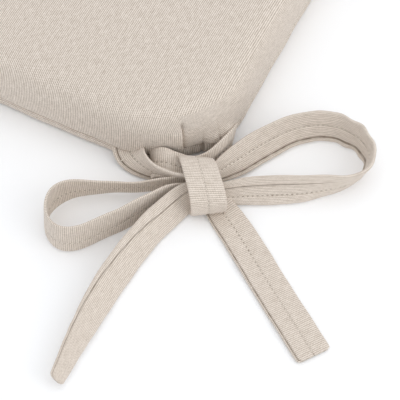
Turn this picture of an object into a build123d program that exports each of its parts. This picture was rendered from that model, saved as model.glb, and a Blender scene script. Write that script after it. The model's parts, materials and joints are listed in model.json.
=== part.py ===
"""Square seat cushion with a zipped cover and two tie bows at its rear corners.

Millimetres. +Z is up, -Y is the front of the seat and +Y its rear, where the ties are.
The origin is on the flat underside, in the middle of the cushion.
"""
import os
from math import tan, radians

from build123d import *

os.makedirs("parts", exist_ok=True)

# ---- driving dimensions -------------------------------------------------------------
WIDTH = 450.0            # side to side, X
DEPTH = 450.0            # front to rear, Y
HEIGHT = 50.0            # underside to top
CORNER_R = 70.0          # corners seen from above
SEAM_Z = 10.0            # height of the seam that joins the underside to the cover
TOP_ROLL = 14.0          # rounding of the top edge
CLOTH = 1.2              # cover cloth with its backing

WADDING_TOP = 6.0        # soft layer over the foam
WADDING_BOTTOM = 7.2     # soft layer under the foam, which makes room for the zip

# zip, along X across the underside near the rear
ZIP_SETBACK = 60.0       # zip's middle to the rear edge
ZIP_LENGTH = 380.0       # tape length
ZIP_Z = 5.4              # middle of the tape's thickness
TAPE_WIDTH = 12.0        # each tape, from beside the coil outward
TAPE_THICK = 0.6
COIL_WIDTH = 2.6         # each half of the chain
COIL_THICK = 2.4
COIL_GAP = 0.8           # parting between the two halves
COIL_END = 10.0          # bare tape beyond each end of the chain
GROOVE = 12.0            # gap between the two underside panels
STOP_LENGTH = 3.0
ROOM_END = 8.0           # space in the wadding beyond each end of the tapes
STITCH_GAUGE = 0.6       # sewing thread with its dimple
STITCH_SETBACK = 3.5     # thread line to the groove's edge

SLIDER_LENGTH = 11.0
SLIDER_WIDTH = 9.6
SLIDER_PLATE = 1.0
SLIDER_TAPER = 2.5       # rounding of the plates at the end that the closed chain leaves
SLIDER_BRIDGE = 0.5
SLIDER_GAP = 0.4         # clearance over and beside the chain
TAPE_GAP = 0.3           # clearance over and under the tape
LUG_BAR = 0.8
LUG_WIDTH = 1.8
LUG_LENGTH = 5.0
LUG_OPENING = 1.4
TAB_LENGTH = 22.0
TAB_WIDTH = 5.0
TAB_THICK = 0.9
TAB_EYE = 3.0            # width of the eye that the lug passes through

# ties: one strap from the rear edge and one from the side edge at each rear corner
TIE_WIDTH = 25.0         # flat width of the folded strap
TAIL_THICK = 3.0
TWISTED_WIDTH = 18.0         # width in plan of the tail that lies twisted
LOOP_BAND = (14.0, 13.0)     # width and height of a loop's standing strap, over the tails
LEAD_BAND = (9.0, 10.0)
LEAD_LIFT = 1.0
KNOT_SIZE = (48.0, 28.0, 26.0)
KNOT_PLACE = (2.5, 4.0)
KNOT_TURN = 128.5
KNOT_ROUND = 5.0
TACK_SIZE = (9.0, 1.6, 1.2)
TACK_INSET = 1.0         # how far a tack starts inside the cushion's edge, before it is trimmed

# routes of the strap stretches in plan, counted from the corner where the left and rear
# edges of the cushion would meet if it weren't rounded
REAR_LEAD = [(83, 4), (65, 6), (45, 10), (23, 10), (9, 5)]
SIDE_LEAD = [(-4, -75), (-4, -57), (-2, -39), (6, -21), (9, -11)]
REAR_LOOP = [(11, 5), (25, 14), (44, 24), (66, 35), (83, 52),
             (78, 74), (57, 79), (44, 61), (25, 36), (4, 19)]
SIDE_LOOP = [(1, -5), (-11, -25), (-22, -47), (-39, -72), (-65, -86),
             (-91, -75), (-93, -49), (-67, -27), (-35, -12), (-7, 7)]
REAR_TAIL = [(4, 10), (11, 32), (18, 58), (21, 93), (22, 129), (19, 173)]
SIDE_TAIL = [(-7, 1), (-37, 21), (-75, 50), (-122, 84)]


# ---- the cushion's layers -----------------------------------------------------------
def slab(inset):
    """The cushion's outer form, drawn in by a distance on every face."""
    with BuildPart() as form:
        with BuildSketch(Plane.XY.offset(inset)):
            RectangleRounded(WIDTH - 2 * inset, DEPTH - 2 * inset, CORNER_R - inset)
        extrude(amount=HEIGHT - 2 * inset)
        fillet(form.edges().group_by(Axis.Z)[-1], TOP_ROLL - inset)
        fillet(form.edges().group_by(Axis.Z)[0], SEAM_Z - inset)
    return form.part


outer_form = slab(0)
inner_form = slab(CLOTH)
zip_y = DEPTH / 2 - ZIP_SETBACK
core_floor = CLOTH + WADDING_BOTTOM
core_ceiling = HEIGHT - CLOTH - WADDING_TOP
room_length = ZIP_LENGTH + 2 * ROOM_END
room_width = GROOVE + 2 * TAPE_WIDTH
slider_top = ZIP_Z + COIL_THICK / 2 + SLIDER_GAP + SLIDER_PLATE
room_top = max(core_floor, slider_top + SLIDER_GAP)


def layer(low, high):
    """A level slice of the form inside the cover."""
    with BuildPart() as piece:
        add(inner_form)
        with BuildSketch(Plane.XY.offset(low)):
            Rectangle(WIDTH, DEPTH)
        extrude(amount=high - low, mode=Mode.INTERSECT)
    return piece.part


with BuildPart() as foam_core:
    add(layer(core_floor, core_ceiling))
    with BuildSketch(Plane.XY.offset(0)):
        with Locations((0, zip_y)):
            Rectangle(room_length, room_width)
    extrude(amount=room_top, mode=Mode.SUBTRACT)

with BuildPart() as wadding_top:
    add(layer(core_ceiling, HEIGHT))

with BuildPart() as wadding_bottom:
    add(layer(0, core_floor))
    with BuildSketch(Plane.XY.offset(0)):
        with Locations((0, zip_y)):
            Rectangle(room_length, room_width)
    extrude(amount=core_floor, mode=Mode.SUBTRACT)

with BuildPart() as top_cover:
    add(outer_form)
    add(inner_form, mode=Mode.SUBTRACT)
    with BuildSketch(Plane.XY.offset(SEAM_Z)):
        Rectangle(WIDTH, DEPTH)
    extrude(amount=HEIGHT, mode=Mode.INTERSECT)


# ---- the underside: two hemmed panels and the tabs that close the zip's ends -----------
hem_height = ZIP_Z - TAPE_THICK / 2
hem_width = TAPE_WIDTH - GROOVE / 2 + COIL_WIDTH + COIL_GAP / 2
stitch_line = GROOVE / 2 + STITCH_SETBACK


def underside_panel(side):
    """One panel of the underside, with the doubled hem that carries its zip tape."""
    reach = DEPTH / 2 - side * zip_y - GROOVE / 2
    edge_y = zip_y + side * GROOVE / 2
    with BuildPart() as panel:
        add(outer_form)
        add(inner_form, mode=Mode.SUBTRACT)
        with BuildSketch(Plane.XY.offset(0)):
            with Locations((0, edge_y + side * reach / 2)):
                Rectangle(WIDTH, reach)
        extrude(amount=SEAM_Z, mode=Mode.INTERSECT)
        with BuildSketch(Plane.XY.offset(CLOTH)):
            with Locations((0, edge_y + side * hem_width / 2)):
                Rectangle(ZIP_LENGTH, hem_width)
        extrude(amount=hem_height - CLOTH)
        with BuildSketch(Plane.XY.offset(0)):
            with Locations((0, zip_y + side * stitch_line)):
                Rectangle(ZIP_LENGTH, STITCH_GAUGE)
        extrude(amount=STITCH_GAUGE, mode=Mode.SUBTRACT)
    return panel.part


def zip_end_tab(side):
    """The strip of underside that closes the gap between the panels beyond the zip."""
    length = (WIDTH - ZIP_LENGTH) / 2
    with BuildPart() as tab:
        add(outer_form)
        add(inner_form, mode=Mode.SUBTRACT)
        with BuildSketch(Plane.XY.offset(0)):
            with Locations((side * (ZIP_LENGTH + length) / 2, zip_y)):
                Rectangle(length, GROOVE)
        extrude(amount=SEAM_Z, mode=Mode.INTERSECT)
    return tab.part


def zip_box(x_range, y_range, z_range):
    """A block given by its limits, with Y counted from the zip's middle."""
    with BuildPart() as block:
        with BuildSketch(Plane.XY.offset(z_range[0])):
            with Locations((sum(x_range) / 2, zip_y + sum(y_range) / 2)):
                Rectangle(x_range[1] - x_range[0], y_range[1] - y_range[0])
        extrude(amount=z_range[1] - z_range[0])
    return block.part


def either_side(near, far, side):
    """Limits along Y of something that runs from near to far on one side of the zip."""
    return (near, far) if side > 0 else (-far, -near)


# ---- the zip ---------------------------------------------------------------------------
coil_near = COIL_GAP / 2
coil_far = coil_near + COIL_WIDTH
tape_z = (ZIP_Z - TAPE_THICK / 2, ZIP_Z + TAPE_THICK / 2)
coil_z = (ZIP_Z - COIL_THICK / 2, ZIP_Z + COIL_THICK / 2)
tape_x = (-ZIP_LENGTH / 2, ZIP_LENGTH / 2)
coil_x = (tape_x[0] + COIL_END, tape_x[1] - COIL_END)


def zip_tape(side):
    """One woven tape, cut back where its coil is sewn along the edge."""
    with BuildPart() as tape:
        add(zip_box(tape_x, either_side(coil_far, coil_far + TAPE_WIDTH, side), tape_z))
    return tape.part


def zip_coil(side):
    """One half of the chain, as the bar that its turns fill."""
    with BuildPart() as coil:
        add(zip_box(coil_x, either_side(coil_near, coil_far, side), coil_z))
    return coil.part


with BuildPart() as zip_top_stops:
    for stop_side in (-1, 1):
        stop_y = either_side(coil_near, coil_far, stop_side)
        add(zip_box((coil_x[1], coil_x[1] + STOP_LENGTH), stop_y, coil_z))

with BuildPart() as zip_bottom_stop:
    add(zip_box((coil_x[0] - STOP_LENGTH, coil_x[0]), (-coil_far, coil_far), coil_z))

with BuildPart() as zip_stitching:
    for stitch_side in (-1, 1):
        thread_y = either_side(stitch_line - STITCH_GAUGE / 2, stitch_line + STITCH_GAUGE / 2,
                               stitch_side)
        add(zip_box(tape_x, thread_y, (STITCH_GAUGE / 4, STITCH_GAUGE)))

# slider: two plates, a bridge between them at the closing end, and flanges round the chain
slider_x = (coil_x[1] - SLIDER_GAP - SLIDER_LENGTH, coil_x[1] - SLIDER_GAP)
plate_low = (coil_z[0] - SLIDER_GAP - SLIDER_PLATE, coil_z[0] - SLIDER_GAP)
plate_high = (coil_z[1] + SLIDER_GAP, coil_z[1] + SLIDER_GAP + SLIDER_PLATE)
flange_near = coil_far + SLIDER_GAP
flange_x = (slider_x[0] + SLIDER_TAPER, slider_x[1])
lug_middle = (slider_x[0] + slider_x[1]) / 2
lug_x = (lug_middle - LUG_LENGTH / 2, lug_middle + LUG_LENGTH / 2)
lug_y = (-LUG_WIDTH / 2, LUG_WIDTH / 2)
lug_z = (plate_low[0] - LUG_OPENING - LUG_BAR, plate_low[0])
hinge_z = plate_low[0] - LUG_OPENING / 2

with BuildPart() as zip_slider:
    for plate in (plate_low, plate_high):
        add(zip_box(slider_x, (-SLIDER_WIDTH / 2, SLIDER_WIDTH / 2), plate))
    fillet(zip_slider.edges().filter_by(Axis.Z).group_by(Axis.X)[0], SLIDER_TAPER)
    add(zip_box((slider_x[1] - SLIDER_LENGTH / 4, slider_x[1]),
                (-SLIDER_BRIDGE / 2, SLIDER_BRIDGE / 2), (plate_low[1], plate_high[0])))
    for flange_side in (-1, 1):
        flange_y = either_side(flange_near, SLIDER_WIDTH / 2, flange_side)
        add(zip_box(flange_x, flange_y, (plate_low[1], tape_z[0] - TAPE_GAP)))
        add(zip_box(flange_x, flange_y, (tape_z[1] + TAPE_GAP, plate_high[0])))
    add(zip_box(lug_x, lug_y, lug_z))
    add(zip_box((lug_x[0] + LUG_BAR, lug_x[1] - LUG_BAR), lug_y,
                (lug_z[0] + LUG_BAR, lug_z[1])), mode=Mode.SUBTRACT)

tab_z = (hinge_z - TAB_THICK / 2, hinge_z + TAB_THICK / 2)
eye_x = (lug_middle - TAB_THICK / 2 - TAB_EYE, lug_middle - TAB_THICK / 2)

with BuildPart() as zip_pull_tab:
    add(zip_box((lug_middle + TAB_THICK / 2 - TAB_LENGTH, lug_middle + TAB_THICK / 2),
                (-TAB_WIDTH / 2, TAB_WIDTH / 2), tab_z))
    fillet(zip_pull_tab.edges().filter_by(Axis.Z).group_by(Axis.X)[0], TAB_WIDTH / 3)
    add(zip_box(eye_x, (-TAB_EYE / 2, TAB_EYE / 2), tab_z), mode=Mode.SUBTRACT)


# ---- the ties -------------------------------------------------------------------------
def corner_plane(height):
    """A level plane whose origin is over the left rear corner."""
    return Plane((-WIDTH / 2, DEPTH / 2, height))


def fold_radii(points):
    """Each corner's radius: 0.45 of its shorter run over the tangent of half the turn."""
    radii = []
    for before, here, after in zip(points, points[1:], points[2:]):
        run_in = Vector(here[0] - before[0], here[1] - before[1])
        run_out = Vector(after[0] - here[0], after[1] - here[1])
        turn = run_in.get_angle(run_out)
        radii.append(0.45 * min(run_in.length, run_out.length) / tan(radians(turn) / 2))
    return radii


def strap(points, width, low, high):
    """A stretch of strap: its route in plan, given a width and a height."""
    radii = fold_radii(points)
    print("strap radii", [round(r) for r in radii])
    with BuildPart() as stretch:
        with BuildSketch(corner_plane(low)):
            with BuildLine():
                route = FilletPolyline(*points, radius=radii)
                offset(route, amount=width / 2, side=Side.BOTH)
            make_face()
        extrude(amount=high - low)
    return stretch.part


def cut_away(piece, others):
    """The piece less whatever it would share with pieces already made."""
    with BuildPart() as rest:
        add(piece)
        for other in others:
            add(other, mode=Mode.SUBTRACT)
        largest = rest.solids().sort_by(SortBy.VOLUME)[-1]
    with BuildPart() as kept:
        add(largest)
    return kept.part


with BuildPart() as tie_knot:
    with BuildSketch(corner_plane(0)):
        with Locations(Location(KNOT_PLACE, KNOT_TURN)):
            Rectangle(KNOT_SIZE[0], KNOT_SIZE[1])
    extrude(amount=KNOT_SIZE[2])
    fillet(tie_knot.edges().group_by(Axis.Z)[-1], KNOT_ROUND)

knot = tie_knot.part
lead_top = LEAD_LIFT + LEAD_BAND[1]
loop_top = TAIL_THICK + LOOP_BAND[1]
rear_loop = cut_away(strap(REAR_LOOP, LOOP_BAND[0], TAIL_THICK, loop_top), [knot])
side_loop = cut_away(strap(SIDE_LOOP, LOOP_BAND[0], TAIL_THICK, loop_top), [knot])
rear_lead = cut_away(strap(REAR_LEAD, LEAD_BAND[0], LEAD_LIFT, lead_top),
                     [outer_form, knot, rear_loop])
side_lead = cut_away(strap(SIDE_LEAD, LEAD_BAND[0], LEAD_LIFT, lead_top),
                     [outer_form, knot, side_loop])
rear_tail = cut_away(strap(REAR_TAIL, TWISTED_WIDTH, 0, TAIL_THICK), [knot])
side_tail = cut_away(strap(SIDE_TAIL, TIE_WIDTH, 0, TAIL_THICK), [knot])


def tack(root, length, depth):
    """The bar of close stitches that holds a strap's root, on top of the strap."""
    with BuildPart() as bar:
        with BuildSketch(corner_plane(lead_top)):
            with Locations(root):
                Rectangle(length, depth)
        extrude(amount=TACK_SIZE[2])
    return bar.part


rear_tack = tack((REAR_LEAD[0][0], TACK_SIZE[0] / 2 - TACK_INSET), TACK_SIZE[1], TACK_SIZE[0])
side_tack = tack((TACK_INSET - TACK_SIZE[0] / 2, SIDE_LEAD[0][1]), TACK_SIZE[0], TACK_SIZE[1])

tie_pieces = {
    "tie_knot": knot,
    "tie_rear_loop": rear_loop,
    "tie_side_loop": side_loop,
    "tie_rear_lead": rear_lead,
    "tie_side_lead": side_lead,
    "tie_rear_tail": rear_tail,
    "tie_side_tail": side_tail,
    "tie_rear_tack": cut_away(rear_tack, [outer_form]),
    "tie_side_tack": cut_away(side_tack, [outer_form]),
}


# ---- names and files --------------------------------------------------------------------
def save(piece, name):
    """Label a finished piece and write its file."""
    piece.label = name
    export_step(piece, f"parts/{name}.step")


save(foam_core.part, "foam_core")
save(wadding_top.part, "wadding_top")
save(wadding_bottom.part, "wadding_bottom")
save(top_cover.part, "top_cover")
save(underside_panel(-1), "underside_front_panel")
save(underside_panel(1), "underside_rear_panel")
save(zip_end_tab(-1), "zip_end_tab_left")
save(zip_end_tab(1), "zip_end_tab_right")
save(zip_tape(-1), "zip_tape_front")
save(zip_tape(1), "zip_tape_rear")
save(zip_coil(-1), "zip_coil_front")
save(zip_coil(1), "zip_coil_rear")
save(zip_top_stops.part, "zip_top_stops")
save(zip_bottom_stop.part, "zip_bottom_stop")
save(zip_stitching.part, "zip_stitching")
save(zip_slider.part, "zip_slider")
save(zip_pull_tab.part, "zip_pull_tab")
for tie_name, left_piece in tie_pieces.items():
    save(left_piece, f"left_{tie_name}")
    with BuildPart() as right_piece:
        mirror(left_piece, about=Plane.YZ)
    save(right_piece.part, f"right_{tie_name}")
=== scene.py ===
"""Visual model of a tie-on seat cushion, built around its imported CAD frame.

The cover, its underside, the zip and the two bows of cloth tape are each a class that builds its
meshes from named sizes, and dresses them with finishes that are described as frozen dataclasses.
Everything is in metres, in the frame of the CAD nodes.
"""

import json
import logging
import math
from dataclasses import dataclass, field
from enum import Enum

import bpy
import numpy as np
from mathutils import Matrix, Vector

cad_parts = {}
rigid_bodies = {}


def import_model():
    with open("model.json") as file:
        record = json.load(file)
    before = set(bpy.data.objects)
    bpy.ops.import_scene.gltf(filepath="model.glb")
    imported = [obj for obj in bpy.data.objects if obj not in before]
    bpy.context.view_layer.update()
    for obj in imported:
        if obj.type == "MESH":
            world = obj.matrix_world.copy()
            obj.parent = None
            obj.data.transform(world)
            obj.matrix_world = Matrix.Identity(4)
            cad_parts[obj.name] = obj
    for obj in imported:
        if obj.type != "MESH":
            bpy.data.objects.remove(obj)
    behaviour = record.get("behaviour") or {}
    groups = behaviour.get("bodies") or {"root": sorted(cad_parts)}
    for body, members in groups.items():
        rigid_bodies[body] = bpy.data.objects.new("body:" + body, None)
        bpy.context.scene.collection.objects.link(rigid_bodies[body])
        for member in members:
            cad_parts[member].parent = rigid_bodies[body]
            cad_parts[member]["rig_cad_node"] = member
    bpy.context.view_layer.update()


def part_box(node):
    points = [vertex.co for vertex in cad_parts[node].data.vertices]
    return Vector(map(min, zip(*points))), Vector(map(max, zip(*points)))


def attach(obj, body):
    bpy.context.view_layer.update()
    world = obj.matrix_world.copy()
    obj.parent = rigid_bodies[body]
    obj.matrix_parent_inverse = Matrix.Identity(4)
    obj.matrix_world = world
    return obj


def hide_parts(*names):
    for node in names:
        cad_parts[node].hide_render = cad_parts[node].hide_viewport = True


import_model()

logging.basicConfig(level=logging.INFO, format="%(message)s")
log = logging.getLogger("seat_cushion")

MM = 0.001
BODY = "cushion"

# sizes of the cushion, in metres
WIDTH = 0.450
CORNER_R = 0.070
STRAIGHT = WIDTH / 2 - CORNER_R      # half of a side's straight length
ARC = CORNER_R * math.pi / 2         # length of a corner's arc
QUARTER = 2 * STRAIGHT + ARC         # a quarter of the outline, from mid side to mid side
CLOTH = 0.0012
DART_TURN = math.radians(41)         # where a corner's dart is, round from its first side
PULL_IN = 1.6 * MM                   # how far a side is drawn in at its middle
SEAM_HEIGHT = 9.0 * MM               # the low seam, where nothing pulls at it
TAPE_PULL = 27.0 * MM                # from a dart to where the side's tape pulls at the seam
TAPE_PULL_REACH = 12.0 * MM
HUB = 0.02                           # share of the way out where a layer's middle is capped
HEM_END = 0.190                      # half the length of the zip's opening
HEM_FADE = 0.004                     # the length over which a hem ends


class Weave(Enum):
    """How the ribs of the cloth run on a tape."""

    ALONG = "along"
    ACROSS = "across"


# ---------------------------------------------------------------- curves and meshes
def smooth_line(points: tuple, count: int) -> np.ndarray:
    """Points on a smooth line that passes through given ones.

    It is a Catmull-Rom curve: between two points a cubic whose slope at each end is half the
    step between that point's neighbours.

    Args:
        points: rows of numbers, one row for each point.
        count: how many points to give back, evenly spaced in the curve's own parameter.

    Returns:
        An array of count rows.
    """
    knots = np.asarray(points, float)
    padded = np.vstack([2 * knots[0] - knots[1], knots, 2 * knots[-1] - knots[-2]])
    place = np.linspace(0, len(knots) - 1, count)
    index = np.minimum(place.astype(int), len(knots) - 2)
    step = (place - index)[:, None]
    before, start, end, after = (padded[index + k] for k in range(4))
    return 0.5 * (
        2 * start
        + (end - before) * step
        + (2 * before - 5 * start + 4 * end - after) * step**2
        + (3 * start - before - 3 * end + after) * step**3
    )


def grid_faces(rows: int, columns: int, wrap_columns: bool) -> np.ndarray:
    """Corner numbers of a grid's quads, whose points are numbered row by row.

    Args:
        rows: how many rows the grid has.
        columns: how many points a row has.
        wrap_columns: whether the last column joins the first.

    Returns:
        Four point numbers for each quad.
    """
    row = np.arange(rows - 1)[:, None]
    column = np.arange(columns if wrap_columns else columns - 1)[None, :]
    following = (column + 1) % columns
    corners = [row * columns + column, row * columns + following,
               (row + 1) * columns + following, (row + 1) * columns + column]
    return np.stack(np.broadcast_arrays(*corners), -1).reshape(-1, 4)


def capped_faces(rows: int, columns: int) -> tuple[list, np.ndarray]:
    """A wrapped grid's quads, with a cap at each end.

    Args:
        rows: how many rows the grid has.
        columns: how many points a row has.

    Returns:
        The faces, and the point numbers of all their corners in order.
    """
    quads = grid_faces(rows, columns, True)
    first = np.arange(columns)[::-1]
    last = (rows - 1) * columns + np.arange(columns)
    return [*quads.tolist(), first.tolist(), last.tolist()], np.concatenate([quads.ravel(), first, last])


def mesh_piece(name: str, points: np.ndarray, faces: list, corner_uv: np.ndarray | None = None,
               smooth: bool = True, more_uv: dict | None = None) -> bpy.types.Object:
    """A mesh object with its faces and, if given, a UV pair for each face corner.

    Args:
        name: the piece's name.
        points: an array of places, (n, 3).
        faces: a list of sequences of point numbers.
        corner_uv: an array with a UV pair for every corner of every face, in order.
        smooth: whether its faces are shaded smooth.
        more_uv: further UV maps of the same form, by name.

    Returns:
        The new object, linked to the scene.
    """
    mesh = bpy.data.meshes.new(name)
    mesh.from_pydata(np.asarray(points).tolist(), [], [list(map(int, face)) for face in faces])
    maps = {} if corner_uv is None else {"Cut": corner_uv, **(more_uv or {})}
    for label, values in maps.items():
        layer = mesh.uv_layers.new(name=label)
        layer.data.foreach_set("uv", np.asarray(values, np.float32).ravel())
    mesh.polygons.foreach_set("use_smooth", np.full(len(mesh.polygons), smooth))
    mesh.update()
    piece = bpy.data.objects.new(name, mesh)
    bpy.context.scene.collection.objects.link(piece)
    return piece


def outward(piece: bpy.types.Object) -> bpy.types.Object:
    """Turn a closed piece's faces so that their normals point out.

    Args:
        piece: a closed mesh object.

    Returns:
        The same piece.
    """
    mesh = piece.data
    count = len(mesh.vertices)
    place = np.empty(count * 3)
    mesh.vertices.foreach_get("co", place)
    place = place.reshape(-1, 3)
    mesh.calc_loop_triangles()
    corners = np.empty(len(mesh.loop_triangles) * 3, np.int32)
    mesh.loop_triangles.foreach_get("vertices", corners)
    a, b, c = (place[corners.reshape(-1, 3)[:, k]] for k in range(3))
    if np.einsum("ij,ij->i", a, np.cross(b, c)).sum() < 0:
        mesh.flip_normals()
    return piece


def finish_piece(piece: bpy.types.Object, material: bpy.types.Material) -> None:
    """Give a piece its finish, fix it to the cushion's body and log it.

    Args:
        piece: a mesh object.
        material: its finish.
    """
    piece.data.materials.append(material)
    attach(piece, BODY)
    log.info("%s: %d faces", piece.name, len(piece.data.polygons))


# ---------------------------------------------------------------- node groups
@dataclass
class Board:
    """Short hand for adding nodes to one tree and joining them."""

    tree: bpy.types.NodeTree

    def add(self, kind: str, inputs: dict | None = None, **settings: object) -> bpy.types.Node:
        """A new node, with settings on it and values or links on its sockets.

        Args:
            kind: the node's type name.
            inputs: values or output sockets, by the input's name or number.
            **settings: attributes of the node.

        Returns:
            The node.
        """
        node = self.tree.nodes.new(kind)
        for key, value in settings.items():
            setattr(node, key, value)
        for key, value in (inputs or {}).items():
            if isinstance(value, bpy.types.NodeSocket):
                self.tree.links.new(value, node.inputs[key])
            else:
                node.inputs[key].default_value = value
        return node

    def math(self, operation: str, first: object, second: object = 0.0,
             third: object = 0.0) -> bpy.types.NodeSocket:
        """The output socket of a new Math node."""
        node = self.add("ShaderNodeMath", {0: first, 1: second, 2: third}, operation=operation)
        return node.outputs[0]

    def noise(self, vector: object, scale: object, detail: float = 2.0) -> bpy.types.NodeSocket:
        """The value of a new noise texture."""
        node = self.add("ShaderNodeTexNoise", {"Vector": vector, "Scale": scale, "Detail": detail})
        return node.outputs["Fac"]

    def stretch(self, vector: object, scale: tuple) -> bpy.types.NodeSocket:
        """A vector scaled by three numbers."""
        node = self.add("ShaderNodeMapping", {"Vector": vector, "Scale": scale})
        return node.outputs["Vector"]


def new_group(name: str, inputs: list, outputs: list) -> tuple[Board, bpy.types.Node, bpy.types.Node]:
    """An empty shader node group with its sockets.

    Args:
        name: the group's name.
        inputs: names and socket types.
        outputs: names of number outputs.

    Returns:
        The group's Board, its input node and its output node.
    """
    tree = bpy.data.node_groups.new(name, "ShaderNodeTree")
    for label, kind in inputs:
        tree.interface.new_socket(name=label, in_out="INPUT", socket_type=kind)
    for label in outputs:
        tree.interface.new_socket(name=label, in_out="OUTPUT", socket_type="NodeSocketFloat")
    board = Board(tree)
    return board, board.add("NodeGroupInput"), board.add("NodeGroupOutput")


def ribbed_weave_group() -> bpy.types.NodeTree:
    """Ribs with a weaker grain across them, slubs and flecks.

    Its vector is in metres, with x across the ribs. Shade is 0 in the gaps and 1 on the ribs,
    Height is the relief, and Fleck is a fine unevenness.

    Returns:
        The node group.
    """
    board, given, result = new_group(
        "ribbed_weave",
        [("Vector", "NodeSocketVector"), ("Rib", "NodeSocketFloat"), ("Pick", "NodeSocketFloat")],
        ["Shade", "Height", "Fleck"])
    vector = given.outputs["Vector"]
    drift = board.noise(board.stretch(vector, (30.0, 14.0, 14.0)), 1.0)
    parts = board.add("ShaderNodeSeparateXYZ", {0: vector})
    rib_place = board.math("DIVIDE", parts.outputs[0], given.outputs["Rib"])
    rib_place = board.math("MULTIPLY_ADD", drift, 0.5, rib_place)
    rib_wave = board.math("SINE", board.math("MULTIPLY", rib_place, 2 * math.pi))
    pick_place = board.math("DIVIDE", parts.outputs[1], given.outputs["Pick"])
    step = board.math("MULTIPLY", board.math("FLOOR", rib_place), 0.5)
    pick_place = board.math("ADD", pick_place, step)
    pick_wave = board.math("SINE", board.math("MULTIPLY", pick_place, 2 * math.pi))
    slub = board.math("SUBTRACT", board.noise(board.stretch(vector, (600.0, 160.0, 160.0)), 1.0), 0.5)
    fleck = board.noise(vector, 800.0, 3.0)
    uneven = board.math("SUBTRACT", fleck, 0.5)
    shade = board.math("MULTIPLY_ADD", rib_wave, 0.42, 0.5)
    shade = board.math("MULTIPLY_ADD", pick_wave, 0.26, shade)
    shade = board.math("MULTIPLY_ADD", slub, 0.8, shade)
    shade = board.math("MULTIPLY_ADD", uneven, 1.0, shade)
    shade = board.math("MINIMUM", board.math("MAXIMUM", shade, 0.0), 1.0)
    height = board.math("MULTIPLY_ADD", rib_wave, 0.35, 0.5)
    height = board.math("MULTIPLY_ADD", pick_wave, 0.18, height)
    height = board.math("MULTIPLY_ADD", uneven, 0.6, height)
    links = board.tree.links
    links.new(shade, result.inputs["Shade"])
    links.new(height, result.inputs["Height"])
    links.new(fleck, result.inputs["Fleck"])
    return board.tree


def speckle_group() -> bpy.types.NodeTree:
    """Soft uneven grain for thread, wadding, foam and brushed metal.

    Returns:
        The node group.
    """
    board, given, result = new_group(
        "speckle", [("Vector", "NodeSocketVector"), ("Scale", "NodeSocketFloat")],
        ["Shade", "Height"])
    coarse = board.noise(given.outputs["Vector"], given.outputs["Scale"], 3.0)
    cells = board.add("ShaderNodeTexVoronoi", {"Vector": given.outputs["Vector"],
                                               "Scale": given.outputs["Scale"]})
    links = board.tree.links
    links.new(coarse, result.inputs["Shade"])
    links.new(cells.outputs["Distance"], result.inputs["Height"])
    return board.tree


def sewn_line_painted_shade_group() -> bpy.types.NodeTree:
    """Painted shade in a row of needle holes, or along the crease of a fold, following the y axis of a UV
    map.

    The vector is in metres, with x counted from the line. Mark is 1 where the painted shade is darkest.

    Returns:
        The node group.
    """
    board, given, result = new_group(
        "sewn_line",
        [("Vector", "NodeSocketVector"), ("Width", "NodeSocketFloat"), ("Pitch", "NodeSocketFloat"),
         ("Gaps", "NodeSocketFloat")],
        ["Mark"])
    parts = board.add("ShaderNodeSeparateXYZ", {0: given.outputs["Vector"]})
    uneven = board.noise(board.stretch(given.outputs["Vector"], (90.0, 160.0, 90.0)), 1.0)
    away = board.math("DIVIDE", board.math("ABSOLUTE", parts.outputs[0]), given.outputs["Width"])
    near = board.math("MAXIMUM", board.math("SUBTRACT", 1.0, away), 0.0)
    beat = board.math("SINE", board.math("DIVIDE", parts.outputs[1], given.outputs["Pitch"]))
    beat = board.math("MULTIPLY_ADD", beat, given.outputs["Gaps"], 1.0)
    beat = board.math("SUBTRACT", beat, given.outputs["Gaps"])
    strength = board.math("MULTIPLY", board.math("MAXIMUM", beat, 0.0), board.math("MULTIPLY", uneven, 1.9))
    mark = board.math("MINIMUM", board.math("MULTIPLY", near, strength), 1.0)
    board.tree.links.new(mark, result.inputs["Mark"])
    return board.tree


GROUPS = {"ribbed_weave": ribbed_weave_group(), "speckle": speckle_group(), "sewn_line": sewn_line_painted_shade_group()}


def new_material(name: str) -> tuple[bpy.types.Material, Board, bpy.types.Node]:
    """An empty material.

    Args:
        name: the material's name.

    Returns:
        The material, the Board of its nodes and its Principled shader.
    """
    material = bpy.data.materials.new(name)
    material.use_nodes = True
    return material, Board(material.node_tree), material.node_tree.nodes["Principled BSDF"]


# lines that are sewn or folded on a tape, darkened with painted shade in their needle holes and creases: UV
# map, half width, pitch and how far they break up
SEWN_LINES = (("Stitch", 0.65 * MM, 0.55 * MM, 0.3), ("Fold", 0.95 * MM, 1.3 * MM, 0.06))
# the colour of the painted shade in needle holes and fold creases
SEWN_PAINTED_SHADE = (0.20, 0.155, 0.115)


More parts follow.
